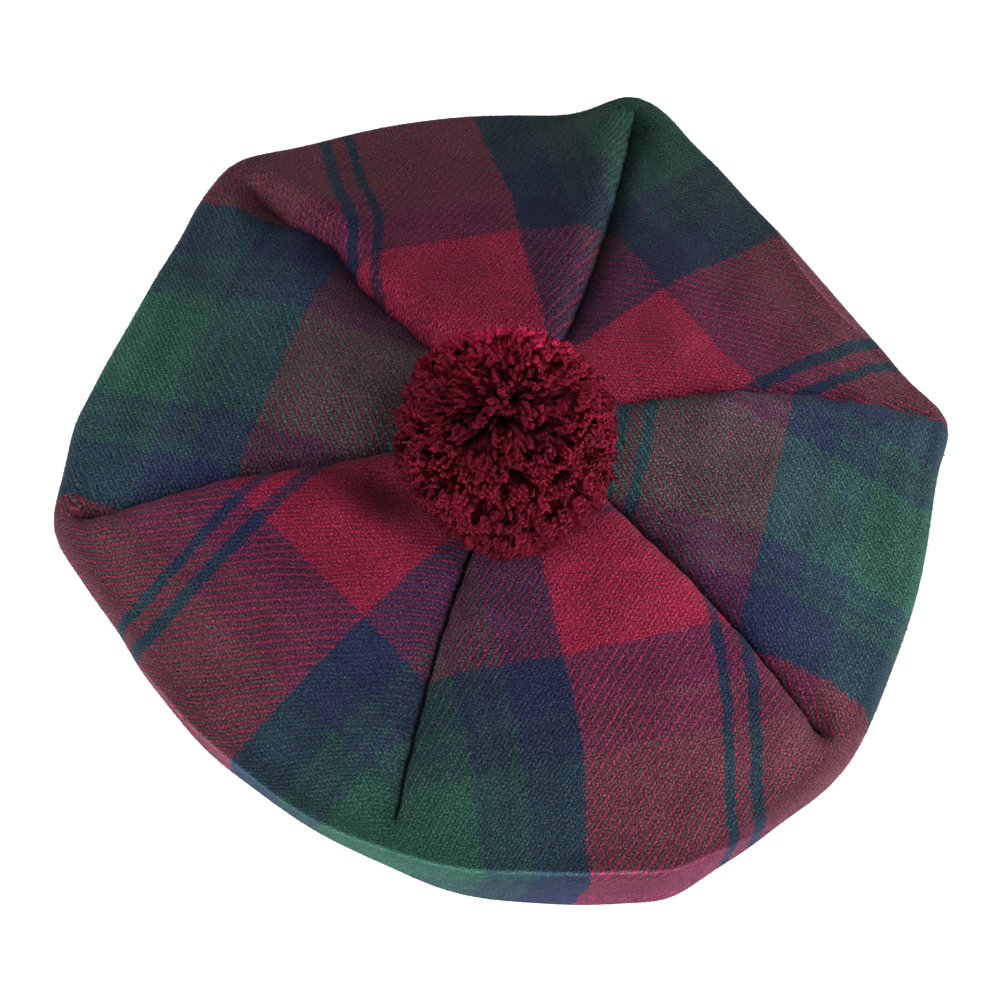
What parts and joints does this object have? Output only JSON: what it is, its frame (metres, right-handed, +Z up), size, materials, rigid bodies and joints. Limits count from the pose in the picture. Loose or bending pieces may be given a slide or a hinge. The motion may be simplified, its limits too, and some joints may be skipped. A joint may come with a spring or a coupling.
{
  "type": "tam o'shanter hat",
  "caption": "Soft flat cloth cap: tartan wedges seamed to a yarn pompom at the centre, a wide crown that rolls under at its rim, and a plain headband open below for the head.",
  "frame": {"origin": "centre of the hat's outline in plan, on the surface that its headband stands on", "axes": "+Z up through the crown; -Y towards the side that the picture shows nearest; +X to the picture's right"},
  "size_m": [0.2818, 0.2856, 0.1122],
  "materials": {
    "tartan_wool": "milled twill wool in a crimson, navy and green tartan, soft nap",
    "band_wool": "plain dark navy wool band, one line of topstitching",
    "pompom_yarn": "cut deep crimson wool yarn ends"
  },
  "bodies": {
    "root": {"crown_panel_1": "tartan_wool", "crown_panel_2": "tartan_wool", "crown_panel_3": "tartan_wool", "crown_panel_4": "tartan_wool", "crown_panel_5": "tartan_wool", "crown_panel_6": "tartan_wool", "headband": "band_wool", "pompom": "pompom_yarn"}
  },
  "joints": []
}
